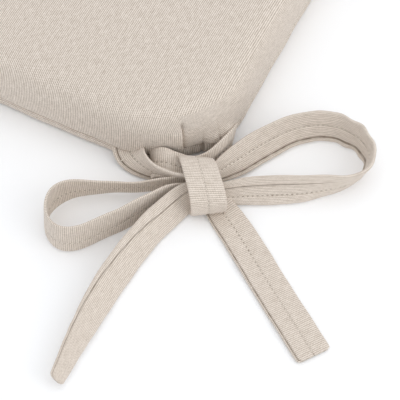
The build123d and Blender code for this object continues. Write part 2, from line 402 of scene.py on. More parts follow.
@dataclass(frozen=True)
class RibbedCloth:
    """A ribbed cotton weave, placed by the piece's UV map."""

    name: str
    light: tuple = (0.86, 0.775, 0.69)
    dark: tuple = (0.41, 0.34, 0.275)
    rib: float = 1.36 * MM
    pick: float = 1.15 * MM
    relief: float = 0.22 * MM
    # sewn: whether painted shade is drawn along the stitch and fold lines, which are also pressed into the
    # relief
    sewn: bool = False

    def material(self) -> bpy.types.Material:
        """Build the finish.

        Returns:
            A Blender material.
        """
        material, board, shader = new_material(self.name)
        place = board.add("ShaderNodeUVMap", uv_map="Cut")
        weave = board.add("ShaderNodeGroup", node_tree=GROUPS["ribbed_weave"])
        board.tree.links.new(place.outputs[0], weave.inputs["Vector"])
        weave.inputs["Rib"].default_value = self.rib
        weave.inputs["Pick"].default_value = self.pick
        colour = board.add("ShaderNodeMix", {"Factor": weave.outputs["Shade"]}, data_type="RGBA")
        colour.inputs[6].default_value = (*self.dark, 1)
        colour.inputs[7].default_value = (*self.light, 1)
        shown, height = colour.outputs[2], weave.outputs["Height"]
        # painted shade: the colour is darkened along the stitch and fold lines, and the same marks press the
        # relief in
        for label, width, pitch, gaps in SEWN_LINES if self.sewn else ():
            line = board.add("ShaderNodeGroup", node_tree=GROUPS["sewn_line"])
            line.inputs["Width"].default_value = width
            line.inputs["Pitch"].default_value = pitch
            line.inputs["Gaps"].default_value = gaps
            lies = board.add("ShaderNodeUVMap", uv_map=label)
            board.tree.links.new(lies.outputs[0], line.inputs["Vector"])
            line_painted_shade = board.add("ShaderNodeMix", {"Factor": line.outputs["Mark"], 6: shown}, data_type="RGBA")
            line_painted_shade.inputs[7].default_value = (*SEWN_PAINTED_SHADE, 1)
            shown = line_painted_shade.outputs[2]
            height = board.math("SUBTRACT", height, line.outputs["Mark"])
        bump = board.add("ShaderNodeBump", {"Height": height, "Distance": self.relief, "Strength": 0.8})
        rough = board.math("MULTIPLY_ADD", weave.outputs["Fleck"], 0.2, 0.75)
        links = board.tree.links
        links.new(shown, shader.inputs["Base Color"])
        links.new(rough, shader.inputs["Roughness"])
        links.new(bump.outputs["Normal"], shader.inputs["Normal"])
        shader.inputs["Specular IOR Level"].default_value = 0.25
        shader.inputs["Sheen Weight"].default_value = 0.15
        return material


@dataclass(frozen=True)
class Plain:
    """A finish with one colour, broken up by a fine grain."""

    name: str
    colour: tuple
    grain: float = 900.0
    contrast: float = 0.2
    roughness: float = 0.7
    metallic: float = 0.0
    relief: float = 0.05 * MM

    def material(self) -> bpy.types.Material:
        """Build the finish.

        Returns:
            A Blender material.
        """
        material, board, shader = new_material(self.name)
        place = board.add("ShaderNodeTexCoord")
        grain = board.add("ShaderNodeGroup", node_tree=GROUPS["speckle"])
        board.tree.links.new(place.outputs["Object"], grain.inputs["Vector"])
        grain.inputs["Scale"].default_value = self.grain
        colour = board.add("ShaderNodeMix", {"Factor": grain.outputs["Shade"]}, data_type="RGBA")
        colour.inputs[6].default_value = (*(c * (1 - self.contrast) for c in self.colour), 1)
        colour.inputs[7].default_value = (*(min(c * (1 + self.contrast), 1) for c in self.colour), 1)
        bump = board.add("ShaderNodeBump", {"Height": grain.outputs["Height"],
                                            "Distance": self.relief, "Strength": 0.6})
        rough = board.math("MULTIPLY_ADD", grain.outputs["Shade"], 0.15, self.roughness - 0.075)
        links = board.tree.links
        links.new(colour.outputs[2], shader.inputs["Base Color"])
        links.new(rough, shader.inputs["Roughness"])
        links.new(bump.outputs["Normal"], shader.inputs["Normal"])
        shader.inputs["Metallic"].default_value = self.metallic
        return material


COVER_CLOTH = RibbedCloth("cover_cloth").material()
# the tie cloth has painted shade along its stitch and fold lines
TIE_CLOTH = RibbedCloth("tie_cloth", light=(0.83, 0.745, 0.66), dark=(0.46, 0.385, 0.315),
                        relief=0.12 * MM, sewn=True).material()
THREAD = Plain("thread", (0.78, 0.71, 0.62), grain=2500.0, roughness=0.65).material()
FOAM = Plain("foam", (0.80, 0.76, 0.62), grain=700.0, relief=0.4 * MM, roughness=0.9).material()
WADDING = Plain("wadding", (0.85, 0.85, 0.83), grain=300.0, relief=0.5 * MM, roughness=0.95).material()
ZIP_TAPE = Plain("zip_tape", (0.62, 0.55, 0.45), grain=1800.0, roughness=0.8).material()
ZIP_COIL = Plain("zip_coil", (0.66, 0.60, 0.51), grain=1500.0, roughness=0.4).material()
ZIP_METAL = Plain("zip_metal", (0.62, 0.60, 0.57), grain=1200.0, contrast=0.08,
                  roughness=0.3, metallic=1.0, relief=0.01 * MM).material()


# ---------------------------------------------------------------- the cushion's outline
def outline(station: np.ndarray, inset: np.ndarray) -> tuple[np.ndarray, np.ndarray]:
    """Places round the cushion's outline, drawn in square to it.

    A quarter runs from the middle of one side, round a corner's arc, to the middle of the next
    side. The other quarters are the same, turned by 90 degrees.

    Args:
        station: distances round the outline, from the middle of the rear side.
        inset: how far in from the outline, of a shape that goes with station.

    Returns:
        The x and y of the places.
    """
    quarter = np.floor(station / QUARTER)
    local = station - quarter * QUARTER
    turn = np.clip((local - STRAIGHT) / CORNER_R, 0, math.pi / 2)
    radius = CORNER_R - inset
    x = -np.minimum(local, STRAIGHT) - radius * np.sin(turn)
    y = STRAIGHT + radius * np.cos(turn) - np.maximum(local - STRAIGHT - ARC, 0)
    angle = quarter * math.pi / 2
    return x * np.cos(angle) - y * np.sin(angle), x * np.sin(angle) + y * np.cos(angle)


def outline_stations() -> np.ndarray:
    """Distances round the outline, close together at the corners and closest at the darts.

    Returns:
        The distances for the whole way round, from the middle of the rear side.
    """
    dart = STRAIGHT + CORNER_R * DART_TURN
    side_step = np.arange(0, STRAIGHT - 0.001, 0.006)
    before = np.linspace(STRAIGHT, dart - 0.006, 22)
    near = dart + MM * np.array([-5, -4, -3, -2.2, -1.5, -0.9, -0.5, -0.2, 0.0,
                                 0.15, 0.4, 0.9, 1.6, 2.5, 3.5, 5])
    gathered = STRAIGHT + CORNER_R * np.radians([49.0, 72.0])
    after = np.concatenate([np.linspace(dart + 0.006, gathered[0], 4)[:-1],
                            np.arange(gathered[0], gathered[1], 0.00045),
                            np.linspace(gathered[1], STRAIGHT + ARC, 14)])
    last = QUARTER - side_step[::-1][:-1]
    quarter = np.concatenate([side_step, before, near, after, last])
    return np.concatenate([quarter + k * QUARTER for k in range(4)])


def bump(value: np.ndarray, centre: float | np.ndarray, width: float) -> np.ndarray:
    """A bell with a height of 1."""
    return np.exp(-(((value - centre) / width) ** 2))


def plateau(value: np.ndarray, centre: float, width: float) -> np.ndarray:
    """A bell with a height of 1 and a broad top."""
    return np.exp(-(((value - centre) / width) ** 4))


def past_dart(station: np.ndarray) -> np.ndarray:
    """How far places round the outline lie past their corner's dart."""
    return station % QUARTER - STRAIGHT - CORNER_R * DART_TURN


# ---------------------------------------------------------------- the cover
def corner_relief(station: np.ndarray, fade: np.ndarray, marks: tuple) -> np.ndarray:
    """Gathers near each corner's dart, as narrow dents that fade with height.

    Args:
        station: distances round the outline.
        fade: the share of each dent that is left at a height.
        marks: for each dent, its turn round the corner in degrees, depth and half width in
            millimetres.

    Returns:
        How far the cloth stands out there, which is negative in a dent.
    """
    local = station % QUARTER
    out = np.zeros(np.broadcast_shapes(station.shape, fade.shape))
    for degrees, depth, width in marks:
        centre = STRAIGHT + CORNER_R * math.radians(degrees)
        out = out - depth * MM * bump(local, centre, width * MM) * fade
    return out


def pulled_fold(station: np.ndarray) -> np.ndarray:
    """How far the cloth is pulled out past each dart, where the side's tape is sewn under it."""
    local = station % QUARTER - STRAIGHT
    pulled = 5.4 * MM * plateau(local, CORNER_R * math.radians(63.5), 12.5 * MM)
    return pulled + 2.2 * MM * bump(local, CORNER_R * math.radians(66.0), 7.0 * MM)


def open_seam(station: np.ndarray, inset: np.ndarray, height: np.ndarray) -> np.ndarray:
    """A profile's insets, less the low seam's groove where the cloth is pulled out flat."""
    pulled = plateau(past_dart(station), TAPE_PULL, TAPE_PULL_REACH)
    return inset * (1 - 0.9 * pulled * bump(height, 9.5 * MM, 3.2 * MM))


def slow_waves(station: np.ndarray, height: np.ndarray) -> np.ndarray:
    """The cloth's slight unevenness along the sides: two sines of the way round."""
    way = station / (4 * QUARTER) * 2 * math.pi
    return (0.35 * MM * np.sin(17 * way + 1.0) * np.sin(5 * way)
            + 0.22 * MM * np.sin(41 * way + height / (7 * MM)))


def mid_side(station: np.ndarray) -> np.ndarray:
    """1 at the middle of a side and 0 from where the corners begin, as a parabola."""
    local = station % QUARTER
    away = np.minimum(local, QUARTER - local) / STRAIGHT
    return np.clip(1 - away**2, 0, 1)


def flat_cut(grid: np.ndarray, stations: np.ndarray, edge: int, wrap: bool) -> np.ndarray:
    """The cloth's flat place, for each corner of each face of a grid.

    Inside the grid's edge row it is x and y. Outside it the cloth turns down the cushion's side:
    one number is the way along the side from its middle, and the other the edge's distance from
    the middle with what the cloth has gone down. Which is x depends on whether the side faces
    front or rear. Two faces that meet at a dart don't agree there, as cut cloth doesn't.

    Args:
        grid: rows from the side's foot to the middle, columns round the outline.
        stations: the columns' distances round the outline.
        edge: the row where the cloth turns down.
        wrap: whether the last column joins the first.

    Returns:
        Flat places for rows, columns, four corners and two numbers.
    """
    rows, columns = grid.shape[:2]
    step = np.linalg.norm(np.diff(grid, axis=0), axis=2)
    walked = np.concatenate([np.zeros((1, columns)), np.cumsum(step, axis=0)])
    drop = np.maximum(walked[edge] - walked, 0)
    inside = (np.arange(rows) >= edge)[:, None]
    x, y = (np.where(inside, grid[:, :, k], grid[edge, :, k]) for k in (0, 1))
    way_x, way_y = np.sign(x), np.sign(y)
    wall = np.clip(drop / (12 * MM), 0, 1)
    reach = np.abs(grid[edge, :, :2]).max()
    quarter = np.floor(stations / QUARTER)
    local = stations - quarter * QUARTER
    following = np.where(np.roll(stations, -1) > stations, np.roll(stations, -1), stations)
    first_side = (stations + following) / 2 - quarter * QUARTER < STRAIGHT + CORNER_R * DART_TURN
    upright = (quarter % 2 == 0) == first_side
    row = np.arange(rows - 1)[:, None]
    column = np.arange(columns if wrap else columns - 1)[None, :]
    chosen = {}
    for first in (True, False):
        run = (local if first else QUARTER - local)[None, :]
        run_x, run_y = (way * run * wall + value * (1 - wall) for way, value in ((way_x, x), (way_y, y)))
        down_x, down_y = (way * (reach * wall + drop) + value * (1 - wall)
                          for way, value in ((way_x, x), (way_y, y)))
        chosen[first, True] = np.stack([run_x, down_y], -1)
        chosen[first, False] = np.stack([down_x, run_y], -1)
    places = []
    for down, over in ((0, 0), (0, 1), (1, 1), (1, 0)):
        at = (row + down, (column + over) % columns)
        pick = [first_side[column[0]][None, :, None], upright[column[0]][None, :, None]]
        places.append(np.where(
            pick[0], np.where(pick[1], chosen[True, True][at], chosen[True, False][at]),
            np.where(pick[1], chosen[False, True][at], chosen[False, False][at])))
    return np.stack(places, 2)


def offset_line(line: np.ndarray, lift: float) -> np.ndarray:
    """A profile of insets and heights moved square to itself, outward if lift is positive."""
    slope = np.gradient(line, axis=0)
    square = np.stack([-slope[:, 1], slope[:, 0]], 1)
    return line + square / np.linalg.norm(square, axis=1)[:, None] * lift


@dataclass
class Cover:
    """The top cloth: a crowned top that comes down the sides to a low seam."""

    crown: float = 0.0545
    gathers: tuple = ((47.0, 0.5, 1.8), (53.0, 2.0, 0.8), (62.5, 2.8, 0.8), (66.0, 0.6, 1.8),
                      (71.0, 0.7, 1.6), (33.0, 0.5, 2.5))
    profile: tuple = (
        (3.4, 8.9), (2.3, 9.5), (1.1, 10.6), (0.1, 13.0), (-0.5, 18.0), (-0.6, 25.0),
        (-0.1, 32.0), (1.4, 38.5), (4.4, 44.2), (8.8, 48.0), (14.5, 50.2), (22.0, 51.4), (30.0, 52.0),
    )
    rows: int = 44
    crown_rows: int = 16
    edge_share: float = 0.70         # share of the rows up to where the cloth turns down
    wadding: tuple = (1.7 * MM, 7.2 * MM)
    flap_over: float = 1.5 * MM      # how far a dart's upper edge stands out
    flap_under: float = 2.2 * MM     # how far its lower edge lies in
    notch: float = 2.4 * MM
    dart_top: float = 41.0 * MM
    fade: float = 9.0 * MM           # height over which the gathers fade
    rise_top: float = 38.0 * MM      # height up to which the drawn-up seam moves the cloth
    pieces: list = field(default_factory=list)

    def relief(self, station: np.ndarray, height: np.ndarray) -> np.ndarray:
        """How far the cloth stands out from its plain outline.

        It is a step at each corner's dart, where the first side's edge lies over the second's,
        gathers that fade upwards from the low seam, and slow waves along the sides.

        Args:
            station: distances round the outline.
            height: heights of the profile's points.

        Returns:
            How far out, for each height and station.
        """
        gap = past_dart(station)
        over = np.where(gap <= 0, bump(gap, 0.0, 7 * MM) * self.flap_over, 0.0)
        under = np.where(gap > 0, -np.exp(-gap / (1.4 * MM)) * self.flap_under, 0.0)
        notch = -self.notch * bump(gap, 0.0, 1.8 * MM) * bump(height, 37.5 * MM, 3.5 * MM)
        wall = np.clip((self.dart_top - height) / (8 * MM), 0, 1)
        above = np.maximum(height - SEAM_HEIGHT, 0) / self.fade
        return ((over + under) * wall * wall * (3 - 2 * wall) + notch
                + pulled_fold(station) * np.exp(-(above**2))
                + corner_relief(station, np.exp(-above), self.gathers) + slow_waves(station, height))

    def rise(self, station: np.ndarray, height: np.ndarray) -> np.ndarray:
        """How far the low seam is drawn up just past each dart, fading upwards.

        Args:
            station: distances round the outline.
            height: heights of the profile's points.

        Returns:
            How far up, for each height and station.
        """
        gap = past_dart(station)
        drawn = np.where(gap > 0, 4.0 * MM * np.exp(-((np.maximum(gap - 8 * MM, 0) / (18 * MM)) ** 2)), 0.0)
        drawn = drawn + 5.0 * MM * plateau(gap, TAPE_PULL, TAPE_PULL_REACH)
        return drawn * np.clip((self.rise_top - height) / (self.rise_top - SEAM_HEIGHT), 0, 1)

    def shell(self, lift: float, rows: int, crown_rows: int, foot: int = 0) -> np.ndarray:
        """The grid of the top cloth, or of a layer inside it.

        Up the side it is the profile carried round the outline. From the profile's end it is the
        outline there, drawn in evenly to the middle, with a height that rises to the crown as
        one less the cube of the distance from the middle.

        Args:
            lift: how far it stands off the profile, outward.
            rows: rows up the side.
            crown_rows: rows over the top.
            foot: the first point of the profile that is used.

        Returns:
            An array of rows, stations and three numbers.
        """
        station = outline_stations()[None, :]
        line = offset_line(smooth_line(self.profile[foot:], rows) * MM, lift)
        inset, height = line[:, :1], line[:, 1:]
        inset = open_seam(station, inset, height)
        x, y = outline(station, inset + PULL_IN * mid_side(station) - self.relief(station, height))
        side = np.stack([x, y, height + self.rise(station, height)], -1)
        share = np.linspace(1, HUB, crown_rows + 1)[1:, None]
        top = height[-1, 0] + (self.crown + lift - height[-1, 0]) * (1 - share**3)
        middle = np.stack(np.broadcast_arrays(x[-1] * share, y[-1] * share, top), -1)
        return np.concatenate([side, middle])

    def build(self) -> None:
        """Make the top cloth and the soft layer that lies right under it."""
        stations = outline_stations()
        outer = self.shell(0.0, self.rows, self.crown_rows)
        inner = self.shell(-CLOTH, self.rows // 2, self.crown_rows // 2)
        cut = flat_cut(outer, stations, int(self.rows * self.edge_share), True)
        top = layered_piece("top_cloth", inner, outer, cut)
        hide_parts("top_cover")
        near, far = (self.shell(-depth, 12, 6, 7) for depth in self.wadding)
        wadding = layered_piece("top_wadding", far, near)
        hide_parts("wadding_top")
        self.pieces = [top, wadding]

    def dress(self) -> None:
        """Give the pieces their finish."""
        for piece, material, slot in zip(self.pieces, (COVER_CLOTH, WADDING), ("cover_cloth", "wadding")):
            finish_piece(piece, material)


def layered_piece(name: str, inner: np.ndarray, outer: np.ndarray,
                  cut: np.ndarray | None = None) -> bpy.types.Object:
    """A closed piece between two grids that go round the cushion, each closed in its middle.

    Args:
        name: the piece's name.
        inner: rows from the foot to the middle, inside.
        outer: rows from the foot to the middle, outside.
        cut: flat places for the outer grid's faces, or None where no weave needs them.

    Returns:
        The new piece.
    """
    grid = np.concatenate([inner[::-1], outer])
    rows, columns = grid.shape[:2]
    faces, corners = capped_faces(rows, columns)
    flat = grid.reshape(-1, 3)[corners, :2]
    if cut is not None:
        start = len(inner) * columns * 4
        flat[start:start + cut.size // 2] = cut.reshape(-1, 2)
    return outward(mesh_piece(name, grid.reshape(-1, 3), faces, flat))


@dataclass
class Core:
    """The foam block and the wadding under it, with room for the zip."""

    inset: float = 6.0 * MM
    round: float = 3.0 * MM
    pieces: list = field(default_factory=list)

    def build(self) -> None:
        """Make the foam as a drum round the outline, and the wadding as a flat ring."""
        station = outline_stations()[None, ::2]
        (_, _, low), (_, _, high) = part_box("foam_core")
        self.pieces = [self.drum(station, low + 0.3 * MM, high - 1.5 * MM),
                       self.ring(station, 1.7 * MM, low)]

    def drum(self, station: np.ndarray, low: float, high: float) -> bpy.types.Object:
        """A block with the cushion's outline and rounded edges, closed in its middle.

        Args:
            station: distances round the outline.
            low: the height of its underside.
            high: the height of its top.

        Returns:
            The new piece.
        """
        angle = np.linspace(0, math.pi / 2, 5)[:, None]
        inset = self.inset + self.round * (1 - np.sin(angle))
        lower = np.stack(np.broadcast_arrays(*outline(station, inset),
                                             low + self.round * (1 - np.cos(angle))), -1)
        upper = lower[::-1].copy()
        upper[..., 2] = low + high - upper[..., 2]
        share = np.array([HUB, 0.3, 0.6, 0.85])[:, None, None]
        under = lower[:1] * np.concatenate([share, share, np.ones_like(share)], -1)
        over = upper[-1:] * np.concatenate([share, share, np.ones_like(share)], -1)
        foam = layered_piece("foam_block", np.concatenate([under, lower])[::-1],
                             np.concatenate([upper, over[::-1]]))
        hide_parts("foam_core")
        return foam

    def ring(self, station: np.ndarray, low: float, high: float) -> bpy.types.Object:
        """A flat layer from the outline to the zip's room, which is found along straight rays.

        Args:
            station: distances round the outline.
            low: the height of its underside.
            high: the height of its top.

        Returns:
            The new piece.
        """
        (left, front, _), (right, rear, _) = (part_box("zip_tape_front")[0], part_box("zip_tape_rear")[1])
        room = np.array([(right - left) / 2 + 8 * MM, (rear - front) / 2 + 3 * MM])
        middle = (front + rear) / 2
        rows = []
        for inset, height in ((self.inset + self.round, low), (self.inset, low + self.round),
                              (self.inset, high)):
            rows.append(np.stack(np.broadcast_arrays(*outline(station, np.array([[inset]])), height), -1))
        ray = rows[0][..., :2] - [0, middle]
        scale = np.minimum(room[0] / np.abs(ray[..., 0]), room[1] / np.abs(ray[..., 1]))
        for height in (high, low):
            rim = ray * scale[..., None] + [0, middle]
            rows.append(np.concatenate([rim, np.full((*rim.shape[:2], 1), height)], -1))
        grid = np.concatenate([*rows, rows[0]])
        columns = grid.shape[1]
        points = grid[:-1].reshape(-1, 3)
        faces = grid_faces(len(grid), columns, True) % len(points)
        ring = outward(mesh_piece("bottom_wadding", points, faces.tolist(), smooth=False))
        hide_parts("wadding_bottom")
        return ring

    def dress(self) -> None:
        """Give the pieces their finish."""
        for piece, material, slot in zip(self.pieces, (FOAM, WADDING), ("foam", "wadding")):
            finish_piece(piece, material)


@dataclass
class Underside:
    """The two panels under the cushion, which meet at the zip, and the tabs at its ends."""

    profile: tuple = ((3.8, 9.3), (2.7, 8.7), (1.6, 7.6), (1.0, 5.8), (1.2, 3.8), (2.6, 1.8),
                      (5.2, 0.7), (8.8, 0.25), (14.0, 0.2))
    gathers: tuple = ((47.0, 0.8, 1.6), (53.0, 4.0, 0.9), (62.5, 3.4, 0.8), (58.0, 0.5, 1.0),
                      (67.0, 0.7, 1.2), (71.0, 1.0, 1.4))
    pieces: list = field(default_factory=list)

    def relief(self, station: np.ndarray, height: np.ndarray) -> np.ndarray:
        """How far the cloth stands out: gathers, and the fold that the side's tape pulls out.

        Args:
            station: distances round the outline.
            height: heights of the profile's points.

        Returns:
            How far out, for each height and station.
        """
        share = np.clip(height / (4 * MM), 0, 1)
        return (pulled_fold(station) * share + corner_relief(station, share, self.gathers)
                + slow_waves(station, height))

    def side(self, profile: np.ndarray, station: np.ndarray) -> np.ndarray:
        """The part of a panel that follows the profile.

        Args:
            profile: rows of inset and height.
            station: distances round the outline.

        Returns:
            An array of rows, stations and three numbers.
        """
        inset, height = profile[:, :1], profile[:, 1:]
        inset = open_seam(station, inset, height)
        x, y = outline(station, inset + PULL_IN * mid_side(station) - self.relief(station, height))
        rise = Cover().rise(station, np.full_like(height, 10 * MM)) * np.clip(height / (8 * MM), 0, 1)
        return np.stack([x, y, height + rise], -1)

    def panel(self, name: str, span: tuple[float, float], inner_ends: np.ndarray, hem: float,
              replaced: str) -> bpy.types.Object:
        """A closed panel: up the side to the seam, and in to a straight inner edge.

        Each column starts at the seam, follows the profile round the lower edge and goes on
        straight to its place on the inner edge. It turns up there, with a hem if it has one, and
        comes back inside a cloth's thickness above.

        Args:
            name: the piece's name.
            span: where it starts and ends round the outline.
            inner_ends: the inner edge's two ends, or None to use where the roll ends.
            hem: how far the hem reaches back from the inner edge, along y, or 0.
            replaced: the CAD node that it stands for.

        Returns:
            The new piece.
        """
        rounds = outline_stations()
        rounds = np.concatenate([rounds - 4 * QUARTER, rounds])
        inside = rounds[(rounds > span[0] + 0.0002) & (rounds < span[1] - 0.0002)]
        station = np.concatenate([[span[0]], inside, [span[1]]])[None, :]
        line = smooth_line(self.profile, 20) * MM
        inner = offset_line(line, CLOTH)[::2][::-1]
        outer = self.side(line, station)
        ends = outer[-1, [0, -1], :2] if inner_ends is None else inner_ends
        share = np.linspace(0, 1, station.shape[1])[:, None]
        rim = ends[0] * (1 - share) + ends[1] * share
        steps = np.linspace(0, 1, 7)[1:-1, None, None]
        floor = outer[-1, :, :2] * (1 - steps) + rim * steps
        flat = np.concatenate([floor, np.full((*floor.shape[:2], 1), 0.2 * MM)], -1)
        rows = [outer, flat]
        tape_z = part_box("zip_tape_front")[0][2]
        turn = ([(0, 0.25), (0, 1.0), (0, 4.2), (0.4, tape_z / MM - 0.1), (hem / MM - 0.4, tape_z / MM - 0.1),
                 (hem / MM, 4.4), (hem / MM, 1.6)] if hem else [(0, 0.3), (0, 0.8), (0.2, 1.4)])
        away = np.sign(outer[-1, :, 1] - rim[:, 1]) if hem else np.zeros(station.shape[1])
        held = np.clip((HEM_END + HEM_FADE - np.abs(rim[:, 0])) / HEM_FADE, 0, 1)
        if not hem:
            held = np.ones(station.shape[1])
        for back, height in turn:
            shift = np.stack([np.zeros_like(away), away * back * MM * held], -1)
            level = np.where(height > 1.4, 1.4 + (height - 1.4) * held, height) * MM
            rows.append(np.concatenate([rim + shift, level[:, None]], -1)[None])
        lining = self.side(inner, station)
        back_steps = steps[::2][::-1]
        ceiling = lining[0, :, :2] * (1 - back_steps) + rows[-1][0, :, :2] * back_steps
        rows.append(np.concatenate([ceiling, np.full((*ceiling.shape[:2], 1), 1.4 * MM)], -1))
        rows.append(lining)
        grid = np.concatenate(rows)
        count, columns = grid.shape[:2]
        looped = np.concatenate([grid, grid[:1]])
        faces = grid_faces(count + 1, columns, False) % (count * columns)
        caps = [(np.arange(count) * columns).tolist(),
                (np.arange(count) * columns + columns - 1)[::-1].tolist()]
        cut = flat_cut(looped, station[0], len(line) - 1, False).reshape(-1, 2)[:, ::-1]
        points = grid.reshape(-1, 3)
        ends_flat = points[np.concatenate(caps)][:, [1, 0]]
        piece = mesh_piece(name, points, [*faces.tolist(), *caps], np.concatenate([cut, ends_flat]))
        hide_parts(replaced)
        return outward(piece)

    def build(self) -> None:
        """Make the two panels and the two tabs."""
        rear_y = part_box("underside_rear_panel")[0][1]
        front_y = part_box("underside_front_panel")[1][1]
        tab_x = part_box("zip_tape_rear")[1][0]
        rear_at, front_at = (STRAIGHT + CORNER_R * math.acos((y - STRAIGHT) / CORNER_R)
                             for y in (rear_y, front_y))
        whole = 4 * QUARTER
        hem = 9.0 * MM
        self.pieces = [
            self.panel("underside_rear_cloth", (-rear_at, rear_at), None, hem, "underside_rear_panel"),
            self.panel("underside_front_cloth", (front_at, whole - front_at), None, hem,
                       "underside_front_panel"),
        ]
        for side, span in ((-1, (rear_at, front_at)), (1, (-front_at, -rear_at))):
            ends = np.array([(side * tab_x, rear_y), (side * tab_x, front_y)])[::-side]
            word = "left" if side < 0 else "right"
            self.pieces.append(self.panel(f"zip_end_cloth_{word}", span, ends, 0.0,
                                          f"zip_end_tab_{word}"))

    def dress(self) -> None:
        """Give the pieces their finish."""
        for piece in self.pieces:
            finish_piece(piece, COVER_CLOTH)


# ---------------------------------------------------------------- the zip
@dataclass
class Zip:
    """The zip's coils and its rows of stitches. Its other parts are the CAD nodes."""

    pitch: float = 1.6 * MM
    wire: float = 0.26 * MM
    wire_sides: int = 5
    stitch: float = 2.6 * MM
    pieces: list = field(default_factory=list)

    def coil(self, side: str, start: float) -> bpy.types.Object:
        """A wire wound along X in its CAD bar's box: a circle carried along a flattened helix.

        Args:
            side: front or rear.
            start: the angle at which the first turn starts.

        Returns:
            The new piece.
        """
        low, high = (np.array(corner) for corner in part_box(f"zip_coil_{side}"))
        middle, reach = (low + high) / 2, (high - low) / 2 - self.wire
        turns = (high[0] - low[0]) / self.pitch
        turn = np.linspace(0, turns, int(turns) * 10 + 1) * 2 * math.pi + start
        line = np.stack([np.linspace(low[0] + self.wire, high[0] - self.wire, len(turn)),
                         middle[1] + reach[1] * np.cos(turn), middle[2] + reach[2] * np.sin(turn)], -1)
        ahead = np.gradient(line, axis=0)
        ahead /= np.linalg.norm(ahead, axis=1)[:, None]
        aside = np.cross(ahead, [1.0, 0.0, 0.0])
        aside /= np.linalg.norm(aside, axis=1)[:, None]
        up = np.cross(aside, ahead)
        angle = np.arange(self.wire_sides) * 2 * math.pi / self.wire_sides
        grid = line[:, None] + self.wire * (np.cos(angle)[None, :, None] * aside[:, None]
                                            + np.sin(angle)[None, :, None] * up[:, None])
        faces = capped_faces(len(line), self.wire_sides)[0]
        coil = outward(mesh_piece(f"zip_coil_turns_{side}", grid.reshape(-1, 3), faces))
        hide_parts(f"zip_coil_{side}")
        return coil

    def build(self) -> None:
        """Make both coils and the stitches that hold the tapes."""
        (left, front, _), (right, rear, _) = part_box("zip_stitching")
        place = np.arange(left + self.stitch, right - self.stitch / 2, self.stitch)
        rows = [np.stack([place, np.full(len(place), y), np.full(len(place), 0.15 * MM)], -1)
                for y in (front + 0.3 * MM, rear - 0.3 * MM)]
        base = np.concatenate(rows)
        sewing = stitch_run("zip_stitches", base, np.tile([1.0, 0, 0], (len(base), 1)),
                            np.tile([0, 0, -1.0], (len(base), 1)), self.stitch * 0.4, 0.28 * MM)
        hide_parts("zip_stitching")
        self.pieces = [self.coil("front", 0.0), self.coil("rear", math.pi), sewing]

    def dress(self) -> None:
        """Give the pieces their finish."""
        for piece, material, slot in zip(self.pieces, (ZIP_COIL, ZIP_COIL, THREAD),
                                         ("zip_coil", "zip_coil", "thread")):
            finish_piece(piece, material)


# ---------------------------------------------------------------- the tapes' routes
@dataclass(frozen=True)
class Stretch:
    """A stretch of tape: its places in plan and how it is held from its start to its end.

    Places are in millimetres from where the rear and left edges would meet if the corner weren't
    rounded. Heights are of the tape's middle. A lean is a turn about the route in degrees: 0 lies
    flat and 90 stands on an edge. Widths are shares of the tape's width. Heights, leans and
    widths are each spread evenly over the places. A heading, where there is one, is the plan
    direction across the tape, in degrees from X; elsewhere that is square to the route.
    """

    places: tuple
    leans: tuple
    heights: tuple = (10.0,)
    widths: tuple = (1.0,)
    heading: float = math.nan

    def rows(self) -> np.ndarray:
        """Spread the stretch's settings over its places.

        Returns:
            Place, height, lean, width and heading, a row for each place.
        """
        place = np.array(self.places, float)
        share = np.linspace(0, 1, len(place))
        spread = [np.interp(share, np.linspace(0, 1, len(values)), values)
                  for values in (self.heights, self.leans, self.widths)]
        return np.column_stack([place, *spread, np.full(len(place), self.heading)])


@dataclass(frozen=True)
class Wrap:
    """A turn of tape round the knot: a rounded box, in the upright plane that runs along it."""

    place: tuple = (-1.0, 4.0)
    bearing: float = 130.0
    headings: tuple = (15.0, 42.0)
    reach: float = 20.5
    rise: float = 14.0
    middle: float = 15.5
    span: tuple = (205.0, -115.0)
    count: int = 11

    def rows(self) -> np.ndarray:
        """Places round the box, whose corners a power rounds.

        Returns:
            Place, height, lean, width and heading, a row for each place.
        """
        angle = np.radians(np.linspace(*self.span, self.count))
        along, up = (np.sign(v) * np.abs(v) ** 0.7 for v in (np.cos(angle), np.sin(angle)))
        bearing = math.radians(self.bearing)
        even = np.ones(self.count)
        return np.column_stack([self.place[0] + self.reach * along * math.cos(bearing),
                                self.place[1] + self.reach * along * math.sin(bearing),
                                self.middle + self.rise * up, 0 * even, even,
                                np.linspace(*self.headings, self.count)])
